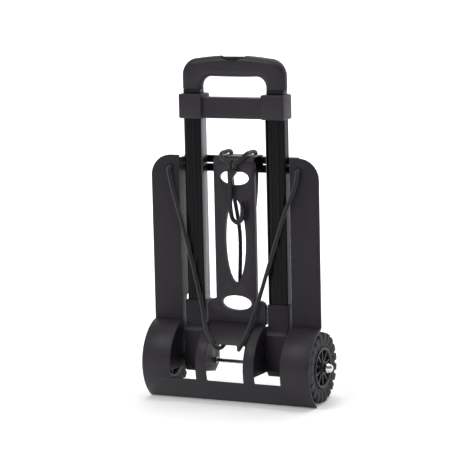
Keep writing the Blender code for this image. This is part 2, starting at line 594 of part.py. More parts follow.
def make_bungee():
    y = AXLE_Y + PANEL_FRONT
    front = y - CORD_R - 0.0015
    back = y + SHEET + CORD_R + 0.001
    rise = EYELET[1] - CREASE_Z
    low = CREASE_Z + 0.019
    run = {"left": [(-0.0800, CREASE_Z + 0.595 * rise, front), (-0.0546, low + 0.011, front - 0.0003),
                    (-0.0520, low, front - 0.0012)],
           "right": [(0.0800, CREASE_Z + 0.718 * rise, front), (0.0570, CREASE_Z + 0.4185 * rise, front),
                     (0.0366, low + 0.015, front - 0.0003), (0.0330, low + 0.004, front - 0.0012)]}
    over = {"left": [(-0.0358, 50), (-0.0250, 39), (-0.0178, 31.0)],
            "right": [(0.0285, 57), (0.0275, 42), (0.0245, 31.0)]}
    turn = CORD_R + 0.0018
    for side, s in SIDES:
        ex, ez = s * EYELET[0], EYELET[1]
        path = [(ex, back, ez), (ex, y + 0.0015, ez), (ex, y - 0.001, ez)]
        path += [(ex, y - 0.001 - turn * math.sin(t), ez - turn * (1 - math.cos(t)))
                 for t in [math.radians(a) for a in (30, 60, 90)]]
        path.append((ex - s * 0.0004, path[-1][1] + 0.0001, path[-1][2] - 0.0025))
        path += [(x, yy, z) for x, z, yy in run[side]]
        r = GUARD_R + CORD_R + 0.0015
        path += [(x, AXLE_Y - r * math.cos(math.radians(t)), AXLE_Z + r * math.sin(math.radians(t)))
                 for x, t in over[side]]
        x = over[side][-1][0]
        lip = WINDOW_Z[1] - CORD_R - 0.0012
        lead = AXLE_Y - GUARD_R
        path += [(x - s * 0.0040, lead + 0.0085, lip - 0.0006),
                 (x - s * 0.0075, lead + 0.0160, lip - 0.0006),
                 (x - s * 0.0110, lead + 0.0225, lip + 0.0060),
                 (x - s * 0.0140, lead + 0.0325, lip + 0.0145)]
        sweep("bungee_" + side, smooth_path(path), CORD_R, "cord_fabric")
        tip = path[0]
        knot = CORD_R + 0.0032
        turned("bungee_knot_" + side,
               [(0.0, 0.0), (0.0, CORD_R + 0.0015), (0.002, knot), (0.005, knot),
                (0.007, CORD_R + 0.001), (0.007, 0.0)],
               14, (tip[0], tip[1] + 2 * GAP, tip[2]), "cord_fabric", "y")
    hood = RAIL_UP[1] + GAP + 0.002 + CORD_R + 0.0008
    rear = AXLE_Y + RAIL_Y[1] + GAP + 0.002 + CORD_R + 0.0010
    bend = RAIL_UP[1] + 0.002 - STRIP_TOP
    round_r = bend + CORD_R + 0.0012
    turn = CORD_R + 0.0025
    join = (HOOK_X, y - CORD_R - 0.0030, HOOK_Z + 0.0005)
    for side, s in SIDES:
        x = -0.0010 + s * 0.0195
        path = [(x * 0.3, AXLE_Y + 0.012, CREASE_Z + 0.053), (x * 0.5, rear + 0.001, CREASE_Z + 0.128),
                (x, rear, PANEL_TOP - 0.040), (x, rear, hood - turn)]
        path += [(x, rear - turn * (1 - math.cos(t)), hood - turn * (1 - math.sin(t)))
                 for t in [math.radians(a) for a in (30, 60, 90)]]
        path += [(x, AXLE_Y + 0.004, hood + 0.0005),
                 (x - s * 0.0005, y + bend - 0.5 * round_r, STRIP_TOP + 0.87 * round_r),
                 (x - s * 0.0040, y + bend - 0.87 * round_r, STRIP_TOP + 0.5 * round_r),
                 (join[0] + s * (CORD_R + 0.0012), join[1] - 0.0006, join[2] + 0.0060),
                 (join[0] + s * (CORD_R + 0.0002), join[1], join[2])]
        sweep("bungee_back_" + side, smooth_path(path), CORD_R, "cord_fabric")


def make_hook():
    """Moulded hook: a flat head that grips both cords, and a bent finger."""
    y = AXLE_Y + PANEL_FRONT - CORD_R - 0.0034
    x, z = HOOK_X, HOOK_Z
    head = [(x - 0.0062, z - GAP), (x + 0.0062, z - GAP), (x + 0.0066, z - 0.006),
            (x - 0.0015, z - 0.0165), (x - 0.0058, z - 0.0165)]
    half = CORD_R + 0.0008
    prism("hook_head", head[::-1], "y", y - half, y + half, "black_plastic")
    x0, z0 = x - 0.0036, z - 0.0165 - GAP
    path = [(x0, y, z0), (x0 - 0.0006, y, z0 - 0.020), (x0, y, z0 - 0.045), (x0 + 0.0035, y, z0 - 0.057),
            (x0 + 0.0095, y, z0 - 0.0610), (x0 + 0.0160, y, z0 - 0.057), (x0 + 0.0184, y, z0 - 0.046),
            (x0 + 0.0186, y, z0 - 0.028)]
    sweep("hook_finger", smooth_path(path, 4), half, "black_plastic")


SIDES = (("left", -1), ("right", 1))

clear_scene()
parts = make_collection(OBJECT)
cutters = make_collection("cutters")
for entry in PAINT:
    material(*entry)
make_axle()
for side, s in SIDES:
    make_wheel(side, s)
    make_foot(side, s)
    make_mast(side, s)
    make_wing(side, s)
    make_arm(side, s)
make_crossbar()
make_handle()
make_guard()
make_strip()
make_strip_hood()
make_rails()
make_bungee()
make_hook()
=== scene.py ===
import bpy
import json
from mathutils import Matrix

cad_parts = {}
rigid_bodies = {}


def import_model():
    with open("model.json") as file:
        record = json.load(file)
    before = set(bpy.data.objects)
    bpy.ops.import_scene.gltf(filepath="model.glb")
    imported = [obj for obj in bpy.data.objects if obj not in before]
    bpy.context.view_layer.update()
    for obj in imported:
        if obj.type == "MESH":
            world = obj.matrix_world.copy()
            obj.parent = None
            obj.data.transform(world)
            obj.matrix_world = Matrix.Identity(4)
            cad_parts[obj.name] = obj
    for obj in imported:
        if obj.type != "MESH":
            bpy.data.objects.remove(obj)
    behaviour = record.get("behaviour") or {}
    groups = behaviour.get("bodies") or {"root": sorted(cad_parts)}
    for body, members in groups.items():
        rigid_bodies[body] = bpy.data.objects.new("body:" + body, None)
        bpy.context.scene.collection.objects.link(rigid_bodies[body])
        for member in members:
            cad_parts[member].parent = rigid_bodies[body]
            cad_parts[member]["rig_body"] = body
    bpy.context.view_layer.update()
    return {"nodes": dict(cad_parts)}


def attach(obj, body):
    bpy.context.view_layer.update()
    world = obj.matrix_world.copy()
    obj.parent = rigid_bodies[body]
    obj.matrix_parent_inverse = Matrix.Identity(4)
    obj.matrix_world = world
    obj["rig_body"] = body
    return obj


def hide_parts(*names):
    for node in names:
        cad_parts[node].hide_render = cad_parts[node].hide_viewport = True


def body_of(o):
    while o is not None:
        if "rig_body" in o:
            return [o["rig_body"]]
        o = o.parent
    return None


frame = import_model()

import json
import math

import bmesh
import bpy
from mathutils import Matrix, Vector

AY = 0.00525
AZ = 0.052
MM = 0.001
GAP = 0.0003
SHEET = 0.0025
GUARD_R = 0.0625
CORD_R = 0.0030
EYELET = (0.102, 0.339)
RAIL_TOP = 0.355
RAIL_BACK = 0.0172
STRIP_TOP = 0.3485
SIDES = (("left", -1), ("right", 1))
OBJ = bpy.ops.object
MESH = bpy.ops.mesh


# ---------------------------------------------------------------- materials
def lin(hexcode):
    """sRGB hex to linear RGBA."""
    out = []
    for k in (0, 2, 4):
        c = int(hexcode[k:k + 2], 16) / 255
        out.append(c / 12.92 if c <= 0.04045 else ((c + 0.055) / 1.055) ** 2.4)
    return (*out, 1.0)


def node(tree, kind, links=(), **values):
    """Add a node; values set sockets by name, or properties in lower case; links are (socket, source)."""
    n = tree.nodes.new("ShaderNode" + kind)
    for key, val in values.items():
        if key.startswith("p_"):
            setattr(n, key[2:], val)
    for key, val in values.items():
        if not key.startswith("p_"):
            numbered = key[0] == "i" and key[1:].isdigit()
            n.inputs[int(key[1:]) if numbered else key.replace("_", " ")].default_value = val
    for sock, src in links:
        tree.links.new(src, n.inputs[sock])
    return n


def new_material(name):
    mat = bpy.data.materials.new(name)
    mat.use_nodes = True
    tree = mat.node_tree
    shader = tree.nodes["Principled BSDF"]
    coord = tree.nodes.new("ShaderNodeTexCoord").outputs["Object"]
    return mat, tree, shader, coord


def speckle(tree, shader, coord, base, worn, grain_mm, bump, rough, rough_swing):
    """Moulded or coated skin: two close tones, uneven gloss and a fine grain in the surface."""
    broad = node(tree, "TexNoise", [("Vector", coord)], Scale=26.0, Detail=4.0, Roughness=0.6)
    fine = node(tree, "TexNoise", [("Vector", coord)], Scale=1.0 / (grain_mm * MM), Detail=2.0,
                Roughness=0.5)
    mix = node(tree, "Mix", [(0, broad.outputs["Fac"])], p_data_type="RGBA", i6=lin(base), i7=lin(worn))
    gloss = node(tree, "MapRange", [("Value", broad.outputs["Fac"])], From_Min=0.3, From_Max=0.7,
                 To_Min=rough - rough_swing, To_Max=rough + rough_swing)
    tree.links.new(mix.outputs[2], shader.inputs["Base Color"])
    tree.links.new(gloss.outputs["Result"], shader.inputs["Roughness"])
    b = node(tree, "Bump", [("Height", fine.outputs["Fac"])], Strength=bump, Distance=0.0002)
    tree.links.new(b.outputs["Normal"], shader.inputs["Normal"])


def satin_plastic(name, base, worn, rough=0.42, bump=0.25, grain=0.45, gloss=0.22):
    # Injection-moulded polypropylene with a spark-eroded grain: soft wide highlights, no mirror.
    mat, tree, shader, coord = new_material(name)
    speckle(tree, shader, coord, base, worn, grain, bump, rough, 0.05)
    shader.inputs["Specular IOR Level"].default_value = gloss
    return mat


def coated_tube(name, base, worn, rough=0.24):
    # Drawn steel tube with a black gloss coat: nearly smooth, faint draw lines up its length.
    mat, tree, shader, coord = new_material(name)
    speckle(tree, shader, coord, base, worn, 0.8, 0.04, rough, 0.03)
    stretch = node(tree, "Mapping", [("Vector", coord)], Scale=(900.0, 900.0, 6.0))
    lines = node(tree, "TexNoise", [("Vector", stretch.outputs[0])], Scale=1.0, Detail=2.0)
    b = node(tree, "Bump", [("Height", lines.outputs["Fac"])], Strength=0.03, Distance=0.0001)
    tree.links.new(b.outputs["Normal"], shader.inputs["Normal"])
    shader.inputs["Metallic"].default_value = 0.0
    shader.inputs["Specular IOR Level"].default_value = 0.12
    shader.inputs["Coat Weight"].default_value = 0.03
    shader.inputs["Coat Roughness"].default_value = 0.16
    return mat


def bare_metal(name, base, worn, rough, axis_scale):
    # Bare turned or drawn metal: brushed lines across the direction of working.
    mat, tree, shader, coord = new_material(name)
    speckle(tree, shader, coord, base, worn, 0.6, 0.05, rough, 0.05)
    stretch = node(tree, "Mapping", [("Vector", coord)], Scale=axis_scale)
    lines = node(tree, "TexNoise", [("Vector", stretch.outputs[0])], Scale=1.0, Detail=3.0)
    b = node(tree, "Bump", [("Height", lines.outputs["Fac"])], Strength=0.10, Distance=0.0001)
    tree.links.new(b.outputs["Normal"], shader.inputs["Normal"])
    shader.inputs["Metallic"].default_value = 1.0
    return mat


def embossed_plastic(name, base, worn, pitch_mm=3.4):
    # Moulded deck skin with a raised diamond grid, so loads do not slide on it; the grooves between the
    # diamonds carry painted shade.
    mat, tree, shader, coord = new_material(name)
    speckle(tree, shader, coord, base, worn, 0.5, 0.2, 0.44, 0.05)
    split = node(tree, "SeparateXYZ", [("Vector", coord)])
    k = math.pi / (pitch_mm * MM)
    waves = []
    for sign in (1, -1):
        z = node(tree, "Math", [(0, split.outputs["Z"])], p_operation="MULTIPLY", i1=0.72 * sign)
        s = node(tree, "Math", [(0, split.outputs["X"]), (1, z.outputs[0])], p_operation="ADD")
        t = node(tree, "Math", [(0, s.outputs[0])], p_operation="MULTIPLY", i1=k)
        w = node(tree, "Math", [(0, t.outputs[0])], p_operation="SINE")
        a = node(tree, "Math", [(0, w.outputs[0])], p_operation="ABSOLUTE")
        waves.append(a.outputs[0])
    low = node(tree, "Math", [(0, waves[0]), (1, waves[1])], p_operation="MINIMUM")
    ridge = node(tree, "MapRange", [("Value", low.outputs[0])], p_interpolation_type="SMOOTHSTEP",
                 From_Min=0.08, From_Max=0.42)
    # Painted shade: the grooves of the grid are coloured darker (171419) than the ridge tops, which take the
    # worn tone.
    groove_shade_mix = node(tree, "Mix", [(0, ridge.outputs["Result"])], p_data_type="RGBA",
                i6=lin("171419"), i7=lin(worn))
    tree.links.new(groove_shade_mix.outputs[2], shader.inputs["Base Color"])
    b = node(tree, "Bump", [("Height", ridge.outputs["Result"])], Strength=0.9, Distance=0.0011)
    tree.links.new(b.outputs["Normal"], shader.inputs["Normal"])
    shader.inputs["Specular IOR Level"].default_value = 0.22
    return mat


def rubber(name, base, worn):
    # Moulded rubber: dusty and matt, a little paler where it has been scuffed.
    mat, tree, shader, coord = new_material(name)
    speckle(tree, shader, coord, base, worn, 0.35, 0.35, 0.72, 0.06)
    return mat


def woven(name, base, worn):
    # Braided polyester sleeve over elastic: crossing yarns about a millimetre wide.
    mat, tree, shader, coord = new_material(name)
    speckle(tree, shader, coord, base, worn, 0.3, 0.3, 0.85, 0.05)
    split = node(tree, "SeparateXYZ", [("Vector", coord)])
    ways = []
    for sign in (1, -1):
        x = node(tree, "Math", [(0, split.outputs["X"])], p_operation="MULTIPLY", i1=1.4 * sign)
        s = node(tree, "Math", [(0, split.outputs["Z"]), (1, x.outputs[0])], p_operation="ADD")
        t = node(tree, "Math", [(0, s.outputs[0])], p_operation="MULTIPLY", i1=math.pi / (1.3 * MM))
        w = node(tree, "Math", [(0, t.outputs[0])], p_operation="SINE")
        ways.append(w.outputs[0])
    braid = node(tree, "Math", [(0, ways[0]), (1, ways[1])], p_operation="MULTIPLY")
    b = node(tree, "Bump", [("Height", braid.outputs[0])], Strength=0.5, Distance=0.0003)
    tree.links.new(b.outputs["Normal"], shader.inputs["Normal"])
    shader.inputs["Sheen Weight"].default_value = 0.3
    return mat


M_GRIP = satin_plastic("polypropylene_grip", "28242A", "302C32", 0.40)
M_FRAME = satin_plastic("polypropylene_frame", "29252B", "312D33", 0.46)
M_FOOT = satin_plastic("polypropylene_foot", "1D191F", "242026", 0.42)
M_DECK = embossed_plastic("polypropylene_deck_embossed", "272329", "312D33")
M_GUARD = satin_plastic("polypropylene_guard", "2C292E", "353236", 0.44)
M_TUBE = coated_tube("coated_steel_tube", "0A080B", "0D0B0E", 0.34)
M_INNER = coated_tube("coated_steel_stage", "121013", "1A181B", 0.3)
# Grey metal strips on the masts' inner sides: their grey is a painted reflection of the white surroundings
# on the black tube's side.
M_GREY_REFLECTION = bare_metal("anodised_aluminium", "5E5B60", "6A676C", 0.36, (700.0, 700.0, 8.0))
M_STEEL = bare_metal("bright_steel", "A9A7AB", "BAB8BC", 0.26, (8.0, 700.0, 700.0))
M_CHROME = bare_metal("chromed_steel", "D2D0D4", "DEDCE0", 0.12, (500.0, 40.0, 40.0))
M_TYRE = rubber("tyre_rubber", "211E23", "2C292E")
M_RIM = satin_plastic("nylon_rim", "201D22", "29262B", 0.36)
M_RING = satin_plastic("acetal_ring", "121014", "1A181C", 0.3)
M_STRIP = satin_plastic("polypropylene_strip", "29252B", "312D33", 0.42)
M_CORD = woven("polyester_cord", "121014", "1B191D")
M_HOOK = satin_plastic("nylon_hook", "1C191E", "27242A", 0.3)
M_BUTTON = satin_plastic("acetal_button", "17151A", "201D22", 0.28)


# ---------------------------------------------------------------- modelling helpers
def begin():
    if bpy.context.object and bpy.context.object.mode != "OBJECT":
        OBJ.mode_set(mode="OBJECT")
    OBJ.select_all(action="DESELECT")


def finish_piece(obj, name, mat, body, nodes, smooth=35):
    """Name it, bake its place into the mesh, paint it and tie it to its CAD body."""
    begin()
    obj.select_set(True)
    bpy.context.view_layer.objects.active = obj
    OBJ.transform_apply(location=True, rotation=True, scale=True)
    OBJ.mode_set(mode="EDIT")
    MESH.select_all(action="SELECT")
    MESH.normals_make_consistent(inside=False)
    OBJ.mode_set(mode="OBJECT")
    obj.name = name
    obj.data.name = name
    obj.data.materials.clear()
    obj.data.materials.append(mat)
    OBJ.shade_smooth_by_angle(angle=math.radians(smooth))
    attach(obj, body)
    if nodes:
        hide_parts(*nodes)
    return obj


def from_bmesh(bm, name):
    bmesh.ops.recalc_face_normals(bm, faces=bm.faces)
    mesh = bpy.data.meshes.new(name)
    bm.to_mesh(mesh)
    bm.free()
    obj = bpy.data.objects.new(name, mesh)
    bpy.context.scene.collection.objects.link(obj)
    return obj


def apply_all(obj):
    begin()
    obj.select_set(True)
    bpy.context.view_layer.objects.active = obj
    for mod in list(obj.modifiers):
        OBJ.modifier_apply(modifier=mod.name)


def bevel(obj, width_mm, segments=3, angle=30):
    mod = obj.modifiers.new("edges", "BEVEL")
    mod.width = width_mm * MM
    mod.segments = segments
    mod.limit_method = "ANGLE"
    mod.angle_limit = math.radians(angle)
    mod.harden_normals = False
    apply_all(obj)


def cut(obj, tool, operation="DIFFERENCE"):
    mod = obj.modifiers.new("cut", "BOOLEAN")
    mod.object = tool
    mod.operation = operation
    mod.solver = "EXACT"
    apply_all(obj)
    bpy.data.objects.remove(tool, do_unlink=True)


def box_piece(lo, hi, name="box"):
    begin()
    MESH.primitive_cube_add(size=1.0)
    obj = bpy.context.object
    obj.name = name
    for v in obj.data.vertices:
        v.co = [(lo[k] + hi[k]) / 2 + v.co[k] * (hi[k] - lo[k]) for k in range(3)]
    return obj


def rounded_rect(u0, v0, u1, v1, radii, steps=6):
    corners = ((u0, v0, 180), (u1, v0, 270), (u1, v1, 0), (u0, v1, 90))
    pts = []
    for (cu, cv, start), r in zip(corners, radii):
        if r <= 0:
            pts.append((cu, cv))
            continue
        mu = cu + r if cu == u0 else cu - r
        mv = cv + r if cv == v0 else cv - r
        for k in range(steps + 1):
            a = math.radians(start + 90 * k / steps)
            pts.append((mu + r * math.cos(a), mv + r * math.sin(a)))
    return pts


def ellipse(cu, cv, ru, rv, steps=64):
    return [(cu + ru * math.cos(2 * math.pi * k / steps),
             cv + rv * math.sin(2 * math.pi * k / steps)) for k in range(steps)]


def place(axis, u, v, w):
    return {"x": (w, u, v), "y": (u, w, v), "z": (u, v, w)}[axis]


def prism(outline, axis, lo, hi, holes=(), name="prism"):
    bm = bmesh.new()
    edges = []
    for loop in (outline, *holes):
        verts = [bm.verts.new(place(axis, u, v, lo)) for u, v in loop]
        edges += [bm.edges.new((verts[k - 1], verts[k])) for k in range(len(verts))]
    if holes:
        bmesh.ops.triangle_fill(bm, edges=edges, use_beauty=True)
    else:
        bmesh.ops.contextual_create(bm, geom=edges)
    out = bmesh.ops.extrude_face_region(bm, geom=list(bm.faces))
    tops = [g for g in out["geom"] if isinstance(g, bmesh.types.BMVert)]
    bmesh.ops.translate(bm, verts=tops, vec=place(axis, 0.0, 0.0, hi - lo))
    return from_bmesh(bm, name)


def turned(profile, steps, centre, axis="x", name="turned"):
    """Closed profile of (along, radius) spun round an axis through centre."""
    bm = bmesh.new()
    rings = []
    for k in range(steps):
        a = 2 * math.pi * k / steps
        ring = []
        for along, r in profile:
            p = place(axis, r * math.cos(a), r * math.sin(a), along)
            ring.append(bm.verts.new([p[i] + centre[i] for i in range(3)]))
        rings.append(ring)
    for k in range(steps):
        a, b = rings[k - 1], rings[k]
        for i in range(len(profile)):
            bm.faces.new((a[i - 1], a[i], b[i], b[i - 1]))
    bmesh.ops.remove_doubles(bm, verts=bm.verts, dist=0.000001)
    bmesh.ops.dissolve_degenerate(bm, edges=bm.edges, dist=0.000001)
    return from_bmesh(bm, name)


def smooth_path(points, steps=5):
    """Smooth curve through the points; each tangent is weighted by the spacing either side."""
    pts = [Vector(p) for p in points]
    gaps = [(b - a).length for a, b in zip(pts, pts[1:])]
    ways = [(b - a) / g for a, b, g in zip(pts, pts[1:], gaps)]
    tangents = [ways[0]]
    for k in range(1, len(ways)):
        tangents.append((ways[k - 1] * gaps[k] + ways[k] * gaps[k - 1]) / (gaps[k - 1] + gaps[k]))
    tangents.append(ways[-1])
    out = []
    for k, gap in enumerate(gaps):
        for n in range(steps):
            t = n / steps
            out.append((2 * t ** 3 - 3 * t ** 2 + 1) * pts[k] + (3 * t ** 2 - 2 * t ** 3) * pts[k + 1]
                       + gap * ((t ** 3 - 2 * t ** 2 + t) * tangents[k]
                                + (t ** 3 - t ** 2) * tangents[k + 1]))
    out.append(pts[-1])
    return out


def sweep(points, radius, name, res=6, radii=None):
    curve = bpy.data.curves.new(name, "CURVE")
    curve.dimensions = "3D"
    curve.bevel_depth = radius
    curve.bevel_resolution = res
    curve.use_fill_caps = True
    spline = curve.splines.new("POLY")
    spline.points.add(len(points) - 1)
    for k, (point, co) in enumerate(zip(spline.points, points)):
        point.co = (*co, 1.0)
        if radii:
            point.radius = radii[k]
    temp = bpy.data.objects.new(name + "_path", curve)
    bpy.context.scene.collection.objects.link(temp)
    begin()
    temp.select_set(True)
    bpy.context.view_layer.objects.active = temp
    OBJ.convert(target="MESH")
    obj = bpy.context.object
    bm = bmesh.new()
    bm.from_mesh(obj.data)
    bmesh.ops.remove_doubles(bm, verts=bm.verts, dist=0.000001)
    bm.to_mesh(obj.data)
    bm.free()
    return obj


def paint(mat, *names):
    """Carry CAD nodes over as they are, in a real material."""
    for name in names:
        mesh = frame["nodes"][name].data
        mesh.materials.clear()
        mesh.materials.append(mat)


# ---------------------------------------------------------------- pieces
def refined(node_name, mat, edge_mm, segments=2, smooth=35):
    """A CAD node's shape carried over as a new piece, with its sharp corners broken."""
    src = frame["nodes"][node_name]
    bm = bmesh.new()
    bm.from_mesh(src.data)
    bmesh.ops.remove_doubles(bm, verts=bm.verts, dist=0.00002)
    bmesh.ops.dissolve_limit(bm, angle_limit=math.radians(0.8), verts=bm.verts, edges=bm.edges)
    obj = from_bmesh(bm, node_name + "_finished")
    if edge_mm:
        bevel(obj, edge_mm, segments)
    return finish_piece(obj, node_name + "_finished", mat, body_of(src)[0], [node_name], smooth)


def make_tyre(side, s):
    # Tread blocks run over the shoulder and down the sidewall as ribs; a bead rolls in at the rim.
    x0, x1 = 0.1085, 0.1305
    lugs, per = 20, 14
    inner = 0.0308
    mid = (x0 + x1) / 2
    bm = bmesh.new()
    rings = []
    for k in range(lugs * per):
        a = 2 * math.pi * k / (lugs * per)
        f = (k % per) / per
        lug = min(1.0, max(0.0, (0.5 - abs(f - 0.5)) * 9.0 - 1.0))
        lug = lug * lug * (3 - 2 * lug)
        crown = 0.0482 + 0.0036 * lug
        edge = 0.0450 + 0.0030 * lug
        rib = 0.0014 * lug
        half = (x1 - x0) / 2
        prof = [(-half + 0.0050, inner), (-half + 0.0022, inner + 0.0006), (-half + 0.0014, inner + 0.0030),
                (-half + 0.0026 - 0.3 * rib, inner + 0.0052), (-half + 0.0016 - rib, 0.0400),
                (-half + 0.0016 - rib, edge - 0.0015), (-half + 0.0028 - rib, crown - 0.0012),
                (-half + 0.0058, crown), (half - 0.0058, crown), (half - 0.0028 + rib, crown - 0.0012),
                (half - 0.0016 + rib, edge - 0.0015), (half - 0.0016 + rib, 0.0400),
                (half - 0.0026 + 0.3 * rib, inner + 0.0052), (half - 0.0014, inner + 0.0030),
                (half - 0.0022, inner + 0.0006), (half - 0.0050, inner)]
        rings.append([bm.verts.new((s * (mid + x), AY + r * math.sin(a), AZ - r * math.cos(a)))
                      for x, r in prof])
    n = len(rings[0])
    for k in range(len(rings)):
        a, b = rings[k - 1], rings[k]
        for i in range(n):
            bm.faces.new((a[i - 1], a[i], b[i], b[i - 1]))
    obj = from_bmesh(bm, "tyre")
    finish_piece(obj, "moulded_tyre_" + side, M_TYRE, "wheel_" + side, ["tyre_" + side], 30)


def make_rim(side, s):
    # One moulding: thin outer ring, ten slim spokes, a fat hub.
    x0, x1 = 0.1085, 0.1305
    c = (0.0, AY, AZ)
    ring = turned([(s * (x0 + 0.0012), 0.0300), (s * (x0 + 0.0012), 0.0262), (s * (x0 + 0.0030), 0.0254),
                   (s * (x1 - 0.0030), 0.0254), (s * (x1 - 0.0010), 0.0262), (s * (x1 - 0.0006), 0.0275),
                   (s * (x1 - 0.0006), 0.0294), (s * (x1 - 0.0012), 0.0303), (s * (x1 - 0.0060), 0.0303)],
                  80, c, name="ring")
    hub = turned([(s * x0, 0.0058), (s * x1, 0.0058), (s * x1, 0.0090), (s * (x1 - 0.0010), 0.0102),
                  (s * (x0 + 0.0010), 0.0102), (s * x0, 0.0090)], 48, c, name="hub")
    cut(ring, hub, "UNION")
    for k in range(10):
        a = 2 * math.pi * k / 10
        spoke = box_piece((0.0, -0.0012, 0.0085), (1.0, 0.0012, 0.0265), "spoke")
        for v in spoke.data.vertices:
            wide = 1.0 if v.co.z > 0.02 else 1.5
            v.co.x = x1 - 0.0022 if v.co.x > 0.5 else x0 + 0.0060
            v.co.y *= wide
        spoke.data.transform(Matrix.Scale(s, 4, (1, 0, 0)))
        spoke.data.transform(Matrix.Translation(c) @ Matrix.Rotation(a, 4, "X"))
        if s < 0:
            spoke.data.flip_normals()
        cut(ring, spoke, "UNION")
    bevel(ring, 0.3, 2, 40)
    finish_piece(ring, "spoked_rim_" + side, M_RIM, "wheel_" + side, ["wheel_rim_" + side], 35)


def make_nut(side, s):
    # Pressed dome nut: short round collar under a polished dome.
    c = (0.0, AY, AZ)
    n0 = 0.1318
    prof = [(n0, 0.0034), (0.1400, 0.0034), (0.1400, 0.0), (0.1443, 0.0)]
    prof += [(0.1443 - 0.0062 * (1 - math.cos(t)), 0.0064 * math.sin(t))
             for t in [math.radians(90 * k / 10) for k in range(1, 11)]]
    prof += [(0.1372, 0.0070), (0.1366, 0.0073), (n0 + 0.0006, 0.0073), (n0, 0.0069)]
    obj = turned([(s * a, r) for a, r in prof], 48, c, name="nut")
    finish_piece(obj, "dome_nut_" + side, M_CHROME, "chassis", ["axle_nut_" + side], 40)


def make_mast(side, s):
    # Extruded tube with a broad facet toward each outer edge and two fine grooves down the front.
    cx, cy = s * 0.066, AY - 0.0045
    w, d = 0.0140, 0.0095
    half = [(0.0, -d + 0.0007), (0.0016, -d), (0.0052, -d), (0.0058, -d + 0.0006), (0.0064, -d + 0.0001),
            (0.0105, -d + 0.0008), (w - 0.0008, -d + 0.0026), (w, -d + 0.0040), (w, d - 0.0024),
            (w - 0.0024, d)]
    outline = half + [(-u, v) for u, v in reversed(half[1:])]
    outer = [(cx + u, cy + v) for u, v in outline]
    inner = rounded_rect(cx - w + 0.0014, cy - d + 0.0042, cx + w - 0.0014, cy + d - 0.0014, (0.001,) * 4, 3)
    obj = prism(outer, "z", 0.0702, 0.4475, [inner], "mast")
    for u, z, r in (((-0.0035 if s < 0 else -0.0085), 0.3975, 0.0014), (0.0030, 0.3962, 0.0008)):
        hole = turned([(-0.004, 0.0), (-0.004, r), (0.004, r), (0.004, 0.0)], 16,
                      (cx + u, cy - d, z), "y", "hole")
        cut(obj, hole)
    finish_piece(obj, "mast_tube_" + side, M_TUBE, "chassis", ["mast_outer_" + side], 20)


def make_stage(side, s, kind, w, d, z0, z1, body):
    cx, cy = s * 0.066, AY - 0.0045
    outer = rounded_rect(cx - w / 2, cy - d / 2, cx + w / 2, cy + d / 2, (0.0025,) * 4, 5)
    inner = rounded_rect(cx - w / 2 + 0.0013, cy - d / 2 + 0.0013, cx + w / 2 - 0.0013, cy + d / 2 - 0.0013,
                         (0.0013,) * 4, 5)
    obj = prism(outer, "z", z0, z1, [inner], "stage")
    finish_piece(obj, kind + "_tube_" + side, M_INNER, body, ["mast_" + kind + "_" + side], 30)


def make_handle():
    # Soft-edged moulded grip: arched crown, deep rounded legs, a thumb scoop over the button.
    cy = AY - 0.0045
    d = 0.0099
    inner, under, bottom = 0.0508, 0.4717, 0.4538
    r, ri, half_w, top, crown = 0.0250, 0.0150, 0.0817, 0.50235, 0.0042
    right = [(inner, bottom)]
    right += [(inner - ri * (1 - math.cos(a)), under - ri * (1 - math.sin(a)))
              for a in [math.radians(90 * k / 12) for k in range(13)]]
    right = [(0.018, under - 0.0005)] + right[::-1]
    shoulder = top - crown
    arc = [(half_w - r + r * math.cos(a), shoulder - r + r * math.sin(a))
           for a in [math.radians(90 * k / 16) for k in range(17)]]
    arch = [(u, top - crown * (u / (half_w - r)) ** 2) for u in (0.048, 0.040, 0.031, 0.021, 0.010)]
    half = right + [(half_w, bottom)] + arc + arch
    outline = half + [(-u, v) for u, v in reversed(half)]
    obj = prism(outline, "y", cy - d, cy + d, (), "grip")
    bm = bmesh.new()
    bm.from_mesh(obj.data)
    rim = [e for e in bm.edges if abs(e.verts[0].co.y - e.verts[1].co.y) < 1e-6
           and (e.verts[0].co.z > bottom + 1e-4 or e.verts[1].co.z > bottom + 1e-4)]
    bmesh.ops.bevel(bm, geom=rim, offset=0.0094, segments=12, profile=0.5, affect="EDGES",
                    clamp_overlap=True)
    bm.to_mesh(obj.data)
    bm.free()
    scoop = turned([(-0.012, 0.0), (-0.012, 0.034), (0.012, 0.034), (0.012, 0.0)], 96,
                   (0.0, cy, top + 0.0265), "y", "scoop")
    scoop.data.transform(Matrix.Translation((0, -0.0085, 0)))
    front = box_piece((-0.030, cy - 0.014, top - 0.0090), (0.030, cy - 0.0040, top + 0.01), "front")
    cut(front, scoop, "INTERSECT")
    cut(obj, front)
    pocket = prism(rounded_rect(-0.0195, cy - 0.0075, 0.0195, cy + 0.0075, (0.004,) * 4, 6), "z",
                   top - 0.0123, top + 0.01, (), "pocket")
    cut(obj, pocket)
    for s in (-1, 1):
        bore = prism(rounded_rect(s * 0.066 - 0.0107, cy - 0.0062, s * 0.066 + 0.0107, cy + 0.0062,
                                  (0.0025,) * 4, 4), "z", bottom - 0.004, under + 0.0004, (), "bore")
        cut(obj, bore)
    finish_piece(obj, "moulded_grip", M_GRIP, "handle", ["handle_grip"], 50)


